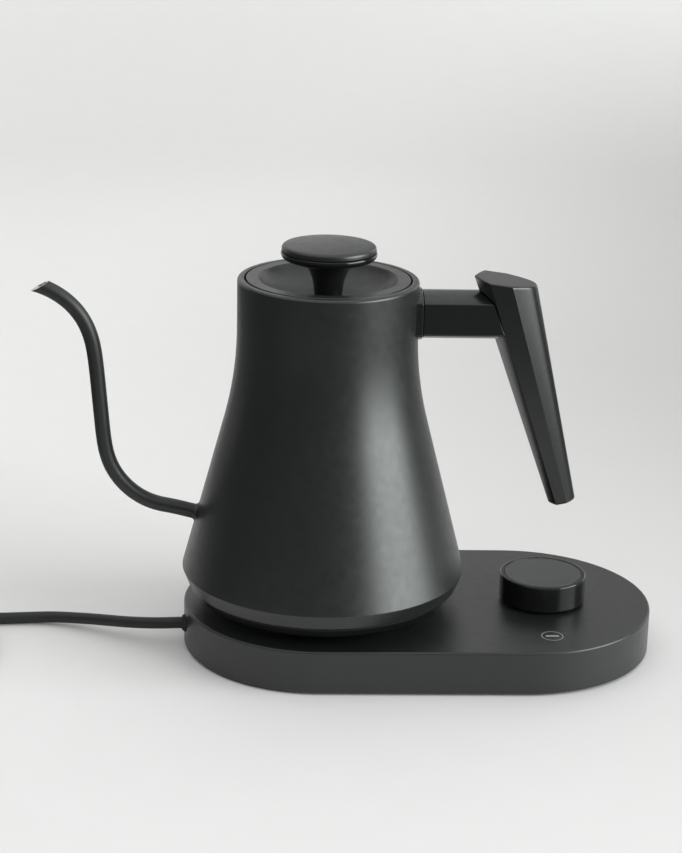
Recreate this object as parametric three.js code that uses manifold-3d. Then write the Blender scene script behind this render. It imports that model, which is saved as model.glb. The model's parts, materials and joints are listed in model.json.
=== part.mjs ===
// Gooseneck electric kettle on a stadium-shaped power base with one control dial.
// Units mm, +Z up, table top at z = 0. The kettle's axis is x = 0, y = 0 until the
// whole group is moved so that the origin is the middle of the underside.
import * as THREE from 'three';
import { mergeVertices } from 'three/addons/utils/BufferGeometryUtils.js';
import Module from 'manifold-3d';

const wasm = await Module();
wasm.setup();

// ---------- driving dimensions ----------
const GAP = 0.3; // clearance between touching pieces
const BASE_R = 66.4; // end radius of the stadium
const BASE_XL = -1.7; // centres of the two end arcs
const BASE_XR = 96.1;
const BASE_TOP = 22.2;
const BASE_UNDER = 2.2; // lower edge of the wall, above the table
const WALL = 2.4; // base housing
const TOP_UNDER = BASE_TOP - WALL;
const TRAY_TOP = 4.6;

const CREASE = { r: 68.9, z: 40.7 }; // widest circle of the kettle
const LIP = { r: 66.0, z: 33.4 }; // lower edge of the undercut
const CONE_END = { r: 49.12, z: 115.1 };
const NECK_R = 43.1;
const NECK_Z = 160.3;
const RIM_Z = 185;
const SHEET = 1.24; // body sheet, measured level
const MOUTH_R = 39.8;
const FLOOR_Z = 47;

const SPOUT_R = 3.65;
const SPOUT_BORE = 2.75;
const SPOUT_PATH = [
  [-58.6, 66.2], [-64.1, 67.5], [-73.1, 69.7], [-81.4, 71.5], [-90.0, 75.4], [-96.7, 81.0],
  [-101.8, 87.9], [-105.0, 95.7], [-106.6, 104.3], [-107.5, 113.6], [-108.3, 123.2],
  [-109.1, 132.7], [-110.0, 142.3], [-111.5, 152.2], [-115.0, 162.0], [-121.1, 170.4],
  [-128.7, 176.3], [-136.4, 179.8], [-146, 182.0],
];
const SPOUT_TIP = { low: [-140.1, 177.0], high: [-131.6, 181.8] };

const ARM = { z: 168.3, w: 12.2, h: 7.6, bulge: 3.7, x0: 44.5 };
// grip: x of the inner crown, both edges of the flat side and the outer nose, at two heights
const GRIP_HI = { z: 183.9, inner: 70.1, flatL: 75.9, flatR: 86.1, nose: 98.8, w: 13.6 };
const GRIP_LO = { z: 75.8, inner: 109.2, flatL: 112.4, flatR: 117.9, nose: 122.9, w: 6.1 };

const DIAL_X = 109.2;
const DIAL_R = 21.2;
const DIAL_TOP = 36.5;
const KEY = { x: 108.7, y: -45.9, r: 5.6 };

const CORD_R = 2.85;
const EXIT = { y: -9.1, z: 12.2 };
const CORD_ROUTE = [
  [-69.3, -9.1, 12.2], [-79.3, -8.6, 11.7], [-89, -5.6, 10.5], [-98.5, -1.2, 9.1],
  [-106.5, 3.4, 7.8], [-114.3, 7.9, 6.5], [-124, 12.8, 5.0], [-134.1, 16.2, 3.9],
  [-145.7, 17.4, 3.1], [-160.7, 16.4, 2.95], [-177.4, 16.0, 2.95],
];
const COIL = { x: -200, y: -19.2, r0: 26, r1: 38, h: 11.5 };
const TAIL_ROUTE = [[-235.2, -46.4, 9.0], [-235.2, -50, 9.6], [-235.2, -53.4, 9.9]];
const PLUG = { x: -235.2, y: -53.7, z: 9.9 };

// ---------- small helpers ----------
const V2 = (x, y) => new THREE.Vector2(x, y);
const V3 = (x, y, z) => new THREE.Vector3(x, y, z);

function clean(geometry) {
  const g = geometry.clone();
  g.deleteAttribute('normal');
  g.deleteAttribute('uv');
  const merged = mergeVertices(g.index ? g.toNonIndexed() : g, 1e-4);
  const idx = merged.index.array;
  const kept = [];
  for (let i = 0; i < idx.length; i += 3) {
    const [a, b, c] = [idx[i], idx[i + 1], idx[i + 2]];
    if (a !== b && b !== c && c !== a) kept.push(a, b, c);
  }
  merged.setIndex(kept);
  return outward(merged);
}

function outward(g) {
  const p = g.attributes.position;
  const idx = g.index.array;
  const [a, b, c] = [V3(), V3(), V3()];
  let volume = 0;
  for (let i = 0; i < idx.length; i += 3) {
    a.fromBufferAttribute(p, idx[i]);
    b.fromBufferAttribute(p, idx[i + 1]);
    c.fromBufferAttribute(p, idx[i + 2]);
    volume += a.dot(b.cross(c));
  }
  if (volume < 0) {
    const flipped = [];
    for (let i = 0; i < idx.length; i += 3) flipped.push(idx[i], idx[i + 2], idx[i + 1]);
    g.setIndex(flipped);
  }
  return g;
}

function solid(geometry) {
  const g = clean(geometry);
  return new wasm.Manifold(new wasm.Mesh({
    numProp: 3,
    vertProperties: new Float32Array(g.attributes.position.array),
    triVerts: new Uint32Array(g.index.array),
  }));
}

function toGeometry(manifold) {
  const m = manifold.getMesh();
  const g = new THREE.BufferGeometry();
  const xyz = new Float32Array((m.vertProperties.length / m.numProp) * 3);
  for (let i = 0; i < xyz.length / 3; i++) {
    for (let k = 0; k < 3; k++) xyz[3 * i + k] = m.vertProperties[m.numProp * i + k];
  }
  g.setAttribute('position', new THREE.BufferAttribute(xyz, 3));
  g.setIndex(Array.from(m.triVerts));
  return clean(g);
}

const cut = (body, ...tools) => toGeometry(
  tools.reduce((left, tool) => left.subtract(solid(tool)), solid(body)),
);
const join = (first, ...more) => toGeometry(
  more.reduce((sum, piece) => sum.add(solid(piece)), solid(first)),
);

// ring of a closed or on-axis [r, z] outline about a vertical axis
function turned(outline, segments = 32, x = 0, y = 0) {
  const pts = outline.map(([r, z]) => V2(r, z));
  if (pts[0].x > 0.001) pts.push(pts[0].clone());
  const g = new THREE.LatheGeometry(pts, segments);
  g.rotateX(Math.PI / 2);
  g.translate(x, y, 0);
  return clean(g);
}

const rod = (r, z0, z1, x, y, segments = 20) => turned(
  [[0, z0], [r, z0], [r, z1], [0, z1]], segments, x, y,
);

function block(x0, x1, y0, y1, z0, z1) {
  const g = new THREE.BoxGeometry(x1 - x0, y1 - y0, z1 - z0);
  g.translate((x0 + x1) / 2, (y0 + y1) / 2, (z0 + z1) / 2);
  return clean(g);
}

// skin through equal-length rings of points, closed by a flat cap at each end
function loft(rings) {
  const n = rings[0].length;
  const xyz = [];
  const idx = [];
  rings.forEach((ring) => ring.forEach((p) => xyz.push(p.x, p.y, p.z)));
  for (let k = 0; k + 1 < rings.length; k++) {
    for (let i = 0; i < n; i++) {
      const [a, b] = [k * n + i, k * n + ((i + 1) % n)];
      idx.push(a, b, b + n, a, b + n, a + n);
    }
  }
  [0, rings.length - 1].forEach((k) => {
    const mid = V3();
    rings[k].forEach((p) => mid.addScaledVector(p, 1 / n));
    const centre = xyz.length / 3;
    xyz.push(mid.x, mid.y, mid.z);
    for (let i = 0; i < n; i++) {
      const [a, b] = [k * n + i, k * n + ((i + 1) % n)];
      idx.push(...(k === 0 ? [centre, b, a] : [centre, a, b]));
    }
  });
  const g = new THREE.BufferGeometry();
  g.setAttribute('position', new THREE.Float32BufferAttribute(xyz, 3));
  g.setIndex(idx);
  return clean(g);
}

// flat outline in x and z, as thick as 2 * half along y
function plate(outline, half) {
  const g = new THREE.ExtrudeGeometry(
    new THREE.Shape(outline.map(([x, z]) => V2(x, z))), { depth: 2 * half, bevelEnabled: false },
  );
  g.translate(0, 0, -half);
  g.rotateX(Math.PI / 2);
  return clean(g);
}

function arc(cx, cz, r, from, to, steps) {
  return Array.from({ length: steps + 1 }, (_, i) => {
    const a = THREE.MathUtils.degToRad(from + ((to - from) * i) / steps);
    return [cx + r * Math.cos(a), cz + r * Math.sin(a)];
  });
}

function bend(p0, p1, p2, steps) {
  const curve = new THREE.QuadraticBezierCurve(V2(...p0), V2(...p1), V2(...p2));
  return curve.getPoints(steps).map((p) => [p.x, p.y]);
}

// ---------- materials ----------
const paint = (color, roughness, metalness = 0) => new THREE.MeshStandardMaterial({
  color, roughness, metalness,
});
const MAT = {
  coat: paint('#2b2d2d', 0.6, 0.1),
  plastic: paint('#1d1e1e', 0.55),
  gloss: paint('#0d0e0e', 0.15),
  steel: paint('#b9bbb9', 0.3, 1),
  rubber: paint('#161616', 0.9),
  copper: paint('#c08a4a', 0.35, 1),
  board: paint('#1d5a38', 0.6),
  screen: paint('#4a4d4c', 0.2),
  silicone: paint('#8c8f8d', 0.8),
  pvc: paint('#202221', 0.5),
};

const group = new THREE.Group();
const assembly = new THREE.Group();
group.name = 'electric_kettle';
assembly.name = 'assembly';
group.add(assembly);

function add(name, geometry, material) {
  geometry.computeVertexNormals();
  const mesh = new THREE.Mesh(geometry, material);
  mesh.name = name;
  assembly.add(mesh);
}

// ---------- power base ----------
function stadium(r, z, steps = 14) {
  const end = (cx, from) => Array.from({ length: steps + 1 }, (_, i) => {
    const a = from + (Math.PI * i) / steps;
    return V3(cx + r * Math.cos(a), r * Math.sin(a), z);
  });
  return [...end(BASE_XR, -Math.PI / 2), ...end(BASE_XL, Math.PI / 2)];
}

const SCREW_SPOTS = [[-41.7, -30], [-41.7, 30], [136.1, -30], [136.1, 30]];
const FOOT_SPOTS = [[-22.3, -53.8], [-22.3, 53.8], [116.7, -53.8], [116.7, 53.8]];
const BOARD = { x0: 32, x1: 78, y0: -36, y1: 36, z0: 8, z1: 9.6 };
const PANEL = { x0: 88, x1: 130, y0: -51, y1: 16, z0: 9, z1: 10.6 };

const cordHole = () => {
  const g = new THREE.CylinderGeometry(5.3, 5.3, 14, 20);
  g.rotateZ(Math.PI / 2);
  g.translate(-66, EXIT.y, EXIT.z);
  return g;
};

function baseHousing() {
  const shell = cut(
    loft([
      stadium(BASE_R - 0.4, BASE_UNDER), stadium(BASE_R, BASE_UNDER + 0.4),
      stadium(BASE_R, BASE_TOP - 0.6), stadium(BASE_R - 0.6, BASE_TOP),
    ]),
    loft([stadium(BASE_R - WALL, BASE_UNDER - 1), stadium(BASE_R - WALL, TOP_UNDER)]),
    rod(22.6, 10, 30, 0, 0, 40),
    rod(9.2, 10, 30, DIAL_X, 0, 24),
    rod(KEY.r + GAP, BASE_TOP - 0.9, 30, KEY.x, KEY.y, 24),
    cordHole(),
  );
  const bosses = SCREW_SPOTS.map(([x, y]) => rod(3.6, 6.7, TOP_UNDER + 0.5, x, y, 12));
  const bores = SCREW_SPOTS.map(([x, y]) => rod(1.6, 5, 15.5, x, y, 8));
  return cut(join(shell, ...bosses), ...bores);
}

function baseTray() {
  const plate = loft([stadium(63.7, BASE_UNDER), stadium(63.7, TRAY_TOP)]);
  const pads = SCREW_SPOTS.map(([x, y]) => rod(5, BASE_UNDER + 1, 6.4, x, y, 12));
  const posts = [BOARD, PANEL].flatMap((b) => [b.x0 + 4, b.x1 - 4].flatMap(
    (x) => [b.y0 + 4, b.y1 - 4].map((y) => rod(2.5, TRAY_TOP - 1, b.z0 - GAP, x, y, 8)),
  ));
  const pillar = rod(24, TRAY_TOP - 1, 16.2, 0, 0, 32);
  const core = rod(20, BASE_UNDER + 2.4, 20, 0, 0, 32);
  const holes = SCREW_SPOTS.flatMap(([x, y]) => [
    rod(3.3, 1, 4.2, x, y, 12), rod(1.7, 1, 8, x, y, 8),
  ]);
  const sockets = FOOT_SPOTS.map(([x, y]) => rod(2.5, 1, 4.2, x, y, 10));
  return cut(join(plate, ...pads, ...posts, pillar), core, ...holes, ...sockets);
}

const screw = (headR, headH, shankR, length, x, y, z, segments = 10) => turned([
  [0, z], [headR - 0.4, z], [headR, z + 0.4], [headR, z + headH], [shankR, z + headH],
  [shankR, z + headH + length - 0.8], [0, z + headH + length],
], segments, x, y);

add('base_housing', baseHousing(), MAT.coat);
add('base_tray', baseTray(), MAT.plastic);
FOOT_SPOTS.forEach(([x, y], i) => add(`base_foot_${i + 1}`, turned([
  [0, 0], [4.6, 0], [5, 0.4], [5, 1.9], [2.1, 1.9], [2.1, 3.9], [0, 3.9],
], 14, x, y), MAT.rubber));
SCREW_SPOTS.forEach(([x, y], i) => add(
  `base_screw_${i + 1}`, screw(2.9, 1.5, 1.3, 10, x, y, 2.4), MAT.steel,
));

// round 360 degree connector: tower with a centre bore and one ring groove
add('power_connector', turned([
  [0, 27.5], [4.2, 27.5], [4.2, 39.1], [4.6, 39.5], [7.9, 39.5], [8.3, 39.1], [8.3, 29.5],
  [10.9, 29.5], [10.9, 39.1], [11.3, 39.5], [14.4, 39.5], [15, 38.9], [15, 26.9],
  [22.2, 26.9], [22.2, TOP_UNDER - GAP], [25.5, TOP_UNDER - GAP], [25.5, 16.5], [0, 16.5],
], 20), MAT.plastic);
add('centre_contact', turned([[2.6, 28], [3.9, 28], [3.9, 36], [2.6, 36]], 14), MAT.copper);
add('ring_contact', turned([[10.3, 29.8], [10.6, 29.8], [10.6, 36], [10.3, 36]], 20), MAT.copper);

add('power_board', block(BOARD.x0, BOARD.x1, BOARD.y0, BOARD.y1, BOARD.z0, BOARD.z1), MAT.board);
add('board_relay', block(38, 57, 8, 28, BOARD.z1 + GAP, 18.6), MAT.plastic);
add('board_capacitor', rod(5.5, BOARD.z1 + GAP, 19, 66, -18, 16), MAT.gloss);
add('control_board', block(PANEL.x0, PANEL.x1, PANEL.y0, PANEL.y1, PANEL.z0, PANEL.z1), MAT.board);
add('dial_encoder', join(
  block(DIAL_X - 6.5, DIAL_X + 6.5, -6.5, 6.5, PANEL.z1 + GAP, 15.2),
  rod(3, 15, 16.6, DIAL_X, 0, 16),
), MAT.steel);
add('touch_pad', rod(3.8, PANEL.z1 + GAP, TOP_UNDER - GAP, KEY.x, KEY.y, 16), MAT.rubber);
add('touch_key', rod(KEY.r, BASE_TOP - 0.6, BASE_TOP, KEY.x, KEY.y, 24), MAT.coat);

// ---------- control dial ----------
add('dial_stem', turned([
  [0, 17.6], [8.2, 17.6], [8.6, 18], [8.6, 28], [18.4, 28], [18.8, 28.4], [18.8, 30],
  [0, 30],
], 20, DIAL_X, 0), MAT.plastic);
add('display_module', rod(18.0, 30 + GAP, 34.8, DIAL_X, 0, 20), MAT.plastic);
add('display_lens', turned([
  [0, 35.1], [18.9, 35.1], [18.9, 36.1], [18.6, 36.4], [0, 36.4],
], 28, DIAL_X, 0), MAT.screen);
add('dial_ring', turned([
  [9.0, 25], [19.4, 25], [19.4, 23.4], [DIAL_R - 0.3, 23.4], [DIAL_R, 23.7],
  ...arc(DIAL_R - 0.8, DIAL_TOP - 0.8, 0.8, 0, 90, 2), [19.5, DIAL_TOP], [19.2, DIAL_TOP - 0.3],
  [19.2, 27.2], [9.0, 27.2],
], 28, DIAL_X, 0), MAT.gloss);

// ---------- kettle body ----------
const flank = (dr) => bend(
  [CONE_END.r + dr, CONE_END.z], [NECK_R + dr, 137.7], [NECK_R + dr, NECK_Z], 5,
);
const outerWall = (dr) => [
  [LIP.r + dr, LIP.z], [CREASE.r + dr, CREASE.z], ...flank(dr), [NECK_R + dr, RIM_Z - 2],
];

function kettleShell() {
  const inner = [...flank(-SHEET)].reverse();
  const wall = turned([
    ...outerWall(0), ...arc(NECK_R - 2, RIM_Z - 2, 2, 30, 90, 2),
    [MOUTH_R + 0.4, RIM_Z], [MOUTH_R, RIM_Z - 0.4], [MOUTH_R, 178.4], [37, 178.4],
    [37, 177.2], [NECK_R - SHEET, 173.4], ...inner,
    [CREASE.r - 1.3, CREASE.z + 0.1], [LIP.r - 1.2, LIP.z + 0.3],
  ], 36);
  const [a, b] = [SPOUT_PATH[0], SPOUT_PATH[2]];
  const bore = new THREE.CylinderGeometry(SPOUT_R + GAP, SPOUT_R + GAP, 16, 20);
  bore.rotateZ(Math.PI / 2 + Math.atan2(b[1] - a[1], b[0] - a[0]));
  bore.translate(-61.5, 0, 66.85);
  return cut(wall, bore);
}

function spoutTube() {
  const path = new THREE.CatmullRomCurve3(SPOUT_PATH.map(([x, z]) => V3(x, 0, z)));
  const ring = new THREE.Shape().absarc(0, 0, SPOUT_R, 0, 2 * Math.PI, false);
  ring.holes.push(new THREE.Path().absarc(0, 0, SPOUT_BORE, 0, 2 * Math.PI, true));
  const tube = new THREE.ExtrudeGeometry(ring, {
    steps: 25, curveSegments: 5, extrudePath: path, bevelEnabled: false,
  });
  const [lo, hi] = [SPOUT_TIP.low, SPOUT_TIP.high];
  const knife = new THREE.BoxGeometry(60, 30, 20);
  knife.translate(0, 0, 10);
  knife.rotateY(-Math.atan2(hi[1] - lo[1], hi[0] - lo[0]));
  knife.translate(lo[0], 0, lo[1]);
  return cut(tube, knife);
}

const STUD_ANGLES = [90, 210, 330];
const onCircle = (r, degrees) => {
  const a = THREE.MathUtils.degToRad(degrees);
  return [r * Math.cos(a), r * Math.sin(a)];
};
const STUDS = STUD_ANGLES.map((a) => onCircle(54, a));
const PROBE = onCircle(31.5, 140);
const CUTOUT = onCircle(31.5, 40);

function kettleFloor() {
  const disc = rod(65.3, FLOOR_Z - 2, FLOOR_Z, 0, 0, 32);
  const studs = STUDS.map(([x, y]) => rod(3, 29.4, FLOOR_Z - 1, x, y, 12));
  const bores = STUDS.map(([x, y]) => rod(1.6, 28, 38, x, y, 12));
  return cut(join(disc, ...studs), ...bores, rod(3.3, 40, 50, ...PROBE, 14));
}

function heatingElement() {
  const path = new THREE.CatmullRomCurve3(Array.from({ length: 21 }, (_, i) => {
    const [x, y] = onCircle(42, 290 + i * 16);
    return V3(x, y, 40.4);
  }));
  const section = new THREE.Shape().absarc(0, 0, 4, 0, 2 * Math.PI, false);
  return clean(new THREE.ExtrudeGeometry(section, {
    steps: 22, curveSegments: 4, extrudePath: path, bevelEnabled: false,
  }));
}

function bottomCover() {
  const cup = turned([
    [22.6, 27.3], [60.4, 27.3], [61.4, 28.1], [64.2, 31.9], [64.2, 36], [62.6, 36],
    [62.6, 32.4], [60.2, 29.1], [22.6, 29.1],
  ], 28);
  return cut(cup, ...STUDS.flatMap(([x, y]) => [
    rod(3.1, 26, 28.5, x, y, 16), rod(1.7, 26, 31, x, y, 12),
  ]));
}

add('kettle_shell', kettleShell(), MAT.coat);
add('kettle_floor', kettleFloor(), MAT.steel);
add('heating_element', heatingElement(), MAT.steel);
add('bottom_cover', bottomCover(), MAT.plastic);
STUDS.forEach(([x, y], i) => add(
  `cover_screw_${i + 1}`, screw(2.8, 0.8, 1.3, 8.5, x, y, 27.5), MAT.steel,
));
add('kettle_socket', turned([
  [0, 40.4], [15.6, 40.4], [15.6, 27.3], [22.2, 27.3], [22.2, 29.4], [26, 29.4],
  [26, 31.4], [22.2, 31.4], [22.2, 43], [0, 43],
], 20), MAT.plastic);
add('socket_pin', turned([
  [0, 30], [1.4, 30], [2.2, 31], [2.2, 40.1], [0, 40.1],
], 16), MAT.copper);
add('socket_ring', turned([[9.2, 31], [10, 31], [10, 40.1], [9.2, 40.1]], 20), MAT.copper);
add('temperature_probe', turned([
  [0, 38], [4.6, 38], [4.6, 44.6], [3, 44.6], [3, 56.6], [1.8, 58], [0, 58],
], 14, ...PROBE), MAT.steel);
add('thermal_cutout', turned([
  [0, 37], [3, 37], [3, 40], [5.4, 40], [5.4, 44.6], [0, 44.6],
], 16, ...CUTOUT), MAT.plastic);
add('spout_tube', spoutTube(), MAT.coat);

// ---------- handle ----------
// upright section with flat sides and an arched top and bottom
function archedBar(x0, x1, grow) {
  const [w, h] = [ARM.w + grow, ARM.h + grow * 0.6];
  const side = (s) => bend(
    [s * w, s * h], [0, s * (h + 2 * (ARM.bulge + grow * 0.4))], [-s * w, s * h], 10,
  );
  const outline = [...side(1), ...side(-1)];
  return loft([x0, x1].map((x) => outline.map(([y, z]) => V3(x, y, ARM.z + z))));
}

function gripSection(g, out) {
  const [w, dOut] = [g.w + out, g.nose - g.flatR];
  const front = new THREE.CubicBezierCurve(
    V2(g.flatR, w), V2(g.flatR + 0.5 * dOut, w * 0.76),
    V2(g.nose + out, w * 0.5), V2(g.nose + out, 0),
  ).getPoints(7).map((p) => [p.x, p.y]);
  const back = bend(
    [g.flatL, w], [g.flatL - 0.55 * (g.flatL - g.inner), w * 0.62], [g.inner - out, 0], 5,
  );
  const mirror = (pts) => pts.slice(0, -1).map(([x, y]) => [x, -y]);
  return [...front.slice(0, -1), [g.nose + out, 0], ...mirror(front).reverse(),
    ...mirror(back), [g.inner - out, 0], ...back.slice(0, -1).reverse()];
}

// every straight ruling between the high and low sections, stopped by sloping end planes
function gripBody(out) {
  const [hi, lo] = [gripSection(GRIP_HI, out), gripSection(GRIP_LO, out)];
  const ring = (height, slope, x0, inset) => {
    const pts = hi.map(([xh, yh], i) => {
      const [xl, yl] = lo[i];
      const rate = (xl - xh) / (GRIP_LO.z - GRIP_HI.z);
      const x = (xh + rate * (height - slope * x0 - GRIP_HI.z)) / (1 - rate * slope);
      const z = height + slope * (x - x0);
      const t = (z - GRIP_HI.z) / (GRIP_LO.z - GRIP_HI.z);
      return V3(x, yh + (yl - yh) * t, z);
    });
    const mid = pts.reduce((s, p) => s.addScaledVector(p, 1 / pts.length), V3());
    return pts.map((p) => p.lerp(mid, inset));
  };
  return loft([
    ring(73.4 - out, 0.22, 112.6, 0.2), ring(73.8 - out, 0.22, 112.6, 0.07),
    ring(74.9 - out, 0.22, 112.6, 0.0), ring(184.9 + out, -0.131, 83.85, 0.0),
    ring(185.35 + out, -0.131, 83.85, 0.025),
  ]);
}

// steel bar from the flange through the arm, with a leg down inside the grip
function bracket(o) {
  const outline = [
    [ARM.x0 + GAP - 4 * o, 171.3 + o], [87.4 + o, 171.3 + o], [99.2 + 1.3 * o, 130.2 - o],
    [93.6 - 1.3 * o, 130.2 - o], [83.4 - o, 165.3 - o], [ARM.x0 + GAP - 4 * o, 165.3 - o],
  ];
  return plate(outline, 5 + o);
}

add('handle_flange', cut(
  archedBar(36, ARM.x0, 0.8),
  turned([[0, 140], [NECK_R + 1.4, 140], ...flank(GAP).slice(3),
    [NECK_R + GAP, 195], [0, 195]], 40),
), MAT.coat);
add('handle_bracket', bracket(0), MAT.steel);
// everything past the seam, the sloping line of the grip's inner flat edge
function pastSeam() {
  const rate = (GRIP_LO.flatL - GRIP_HI.flatL) / (GRIP_HI.z - GRIP_LO.z);
  const seam = (z) => GRIP_HI.flatL - GAP + rate * (GRIP_HI.z - z);
  return plate([[seam(200), 200], [130, 200], [130, 140], [seam(140), 140]], 20);
}

add('handle_arm', cut(
  archedBar(ARM.x0 + GAP, 96, 0), gripBody(GAP), pastSeam(), bracket(GAP),
  rod(3.1, 150, 160.6, 62, 0, 16), rod(1.6, 150, 166, 62, 0, 12),
), MAT.coat);
add('arm_screw', screw(2.8, 1.8, 1.3, 3.8, 62, 0, 158.5), MAT.steel);
add('handle_grip', cut(gripBody(0), bracket(GAP)), MAT.coat);

// ---------- lid ----------
// steep-sided bowl of the lid; depth moves it down and outwards for the faces under it
const bowl = (depth) => bend(
  [15, 175.8 - depth], [28 + 0.5 * depth, 176.4 - depth], [33 + 0.7 * depth, 184.8 - depth], 6,
);
add('lid_plate', turned([
  [2.3, 175.8], ...bowl(0), [33.6, 185.1], [38.6, 185.1], [39, 184.7], [39, 181.6],
  [38, 181.6], [38, 184.1], [34.4, 184.1], ...bowl(1).reverse(), [2.3, 174.8],
], 28), MAT.coat);
add('lid_liner', turned([
  [2.3, 174.4], ...bowl(1.4).slice(0, -1), [34.9, 183.3], [36, 183.3], [36, 177.6],
  [34.9, 177.6], [34.9, 181.0], ...bowl(2.7).slice(0, -2).reverse(), [2.3, 173.1],
], 20), MAT.plastic);
add('lid_seal', turned([
  [36.3, 178.9], [39, 178.9], [39.5, 179.4], [39.5, 180.2], [39, 180.7], [36.3, 180.7],
], 24), MAT.silicone);
add('lid_screw', screw(3.2, 1.5, 1.7, 13.6, 0, 0, 171.3), MAT.steel);
add('knob_base', turned([
  [0, 188], [2, 188], [2, 176.1], ...bend([6.7, 176.1], [7.0, 187.9], [12.6, 193.0], 5),
  ...bend([18.4, 193.3], [22.9, 194.1], [22.8, 197.4], 4), [22.4, 197.8], [0, 197.8],
], 24), MAT.gloss);
add('knob_cap', turned([
  [0, 198.1], [22, 198.1], [22.4, 198.5], [22.4, 199.4], [22, 200.3], ...bend(
    [20.9, 201], [12, 202.3], [0, 202.3], 4,
  ),
], 28), MAT.coat);

// ---------- cord ----------
function tube(points, r, steps, sides = 10) {
  const path = new THREE.CatmullRomCurve3(points.map((p) => V3(...p)));
  const section = new THREE.Shape(Array.from({ length: sides }, (_, i) => {
    const a = (2 * Math.PI * (i + 0.5)) / sides;
    return V2(r * Math.cos(a), r * Math.sin(a));
  }));
  return clean(new THREE.ExtrudeGeometry(section, {
    steps, extrudePath: path, bevelEnabled: false,
  }));
}

// tapered relief: thick inside the wall, thin end just outside it
function cordGland() {
  const outline = [
    [3.15, -0.4], [3.5, -0.4], [4.8, 2.6], [4.9, 5.2], [6.6, 5.2], [6.6, 7.2], [4.9, 7.2],
    [4.4, 21.5], [3.15, 21.5],
  ];
  const g = turned(outline, 16);
  g.rotateY(Math.PI / 2);
  g.translate(-68.4, EXIT.y, EXIT.z);
  return g;
}

function plugBody() {
  const ring = (y, rx, rz) => Array.from({ length: 20 }, (_, i) => {
    const a = (2 * Math.PI * i) / 20;
    const [c, s] = [Math.cos(a), Math.sin(a)];
    const square = (v) => Math.sign(v) * Math.abs(v) ** 0.6;
    return V3(PLUG.x + rx * square(c), PLUG.y - y, PLUG.z + rz * square(s));
  });
  return loft([
    ring(0, 3.9, 3.9), ring(20, 5.2, 5.2), ring(26, 10.5, 8.2), ring(34, 13, 9.6),
    ring(48, 13, 9.6), ring(50, 12.4, 9.2),
  ]);
}

function cordTie() {
  const g = plate([
    [24.3, 0.2], [24.3, 12.8], [39.3, 12.8], [39.3, 0.2], [38.3, 0.2], [38.3, 11.8],
    [25.3, 11.8], [25.3, 0.2],
  ], 4);
  g.rotateZ(THREE.MathUtils.degToRad(-60));
  g.translate(COIL.x, COIL.y, 0);
  return clean(g);
}

add('cord_gland', cordGland(), MAT.rubber);
add('power_cord', tube(CORD_ROUTE, CORD_R, 15, 8), MAT.pvc);
add('cord_coil', turned([
  [COIL.r0, 0.9], [COIL.r0 + 1, 0.1], [COIL.r1 - 1, 0.1], [COIL.r1, 0.9],
  [COIL.r1, COIL.h - 1], [COIL.r1 - 1, COIL.h], [COIL.r0 + 1, COIL.h], [COIL.r0, COIL.h - 1],
], 20, COIL.x, COIL.y), MAT.pvc);
add('cord_tie', cordTie(), MAT.rubber);
add('cord_tail', tube(TAIL_ROUTE, CORD_R, 4), MAT.pvc);
add('plug_body', plugBody(), MAT.pvc);
const BLADE_Y = PLUG.y - 50.3;
[[-6.35, 1], [6.35, 2]].forEach(([dx, n]) => add(
  `plug_blade_${n}`,
  block(PLUG.x + dx - 0.75, PLUG.x + dx + 0.75, BLADE_Y - 17, BLADE_Y, PLUG.z - 3.2, PLUG.z + 3.2),
  MAT.steel,
));
{
  const pin = turned([[0, 0], [2.4, 0], [2.4, 18.5], [1.5, 20], [0, 20]], 14);
  pin.rotateX(Math.PI / 2);
  pin.translate(PLUG.x, BLADE_Y, PLUG.z - 4.5);
  add('plug_earth_pin', clean(pin), MAT.steel);
}

// ---------- origin: middle of the underside, cord left out ----------
const box = new THREE.Box3();
assembly.traverse((m) => {
  if (m.isMesh && !/^(cord|power_cord|plug)/.test(m.name)) box.expandByObject(m);
});
const middle = box.getCenter(V3());
assembly.position.set(-middle.x, -middle.y, -box.min.z);
assembly.updateMatrixWorld(true);

export default group;
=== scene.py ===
"""Matt black gooseneck kettle on its long power base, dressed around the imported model.

Lengths in the tables are millimetres from the kettle's own axis, z up from the table.
at() turns them into the row frame in metres. Every surface is a grid worked out whole:
a profile turned about an axis, carried round the base, or swept along a path.
"""
import json

import bpy
import numpy as np
from mathutils import Matrix, Vector


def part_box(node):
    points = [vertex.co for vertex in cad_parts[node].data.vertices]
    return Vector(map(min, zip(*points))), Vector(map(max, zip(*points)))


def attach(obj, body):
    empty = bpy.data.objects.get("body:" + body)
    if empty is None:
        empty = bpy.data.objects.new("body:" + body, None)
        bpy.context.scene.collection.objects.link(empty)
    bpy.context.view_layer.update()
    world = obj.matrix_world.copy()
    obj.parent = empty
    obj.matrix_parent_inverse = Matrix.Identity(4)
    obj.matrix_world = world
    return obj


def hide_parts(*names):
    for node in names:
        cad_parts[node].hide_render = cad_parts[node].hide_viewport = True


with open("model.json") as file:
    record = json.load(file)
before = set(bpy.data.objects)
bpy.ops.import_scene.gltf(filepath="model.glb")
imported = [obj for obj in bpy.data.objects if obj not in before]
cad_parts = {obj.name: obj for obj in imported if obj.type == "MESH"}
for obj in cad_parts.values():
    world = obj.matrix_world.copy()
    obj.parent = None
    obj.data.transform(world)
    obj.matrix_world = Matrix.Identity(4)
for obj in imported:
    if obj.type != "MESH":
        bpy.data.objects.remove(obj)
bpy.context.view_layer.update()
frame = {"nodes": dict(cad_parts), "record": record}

MM = 0.001
floor_lo, floor_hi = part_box("kettle_floor")
AXIS_X = (floor_lo.x + floor_hi.x) / 2

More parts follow.
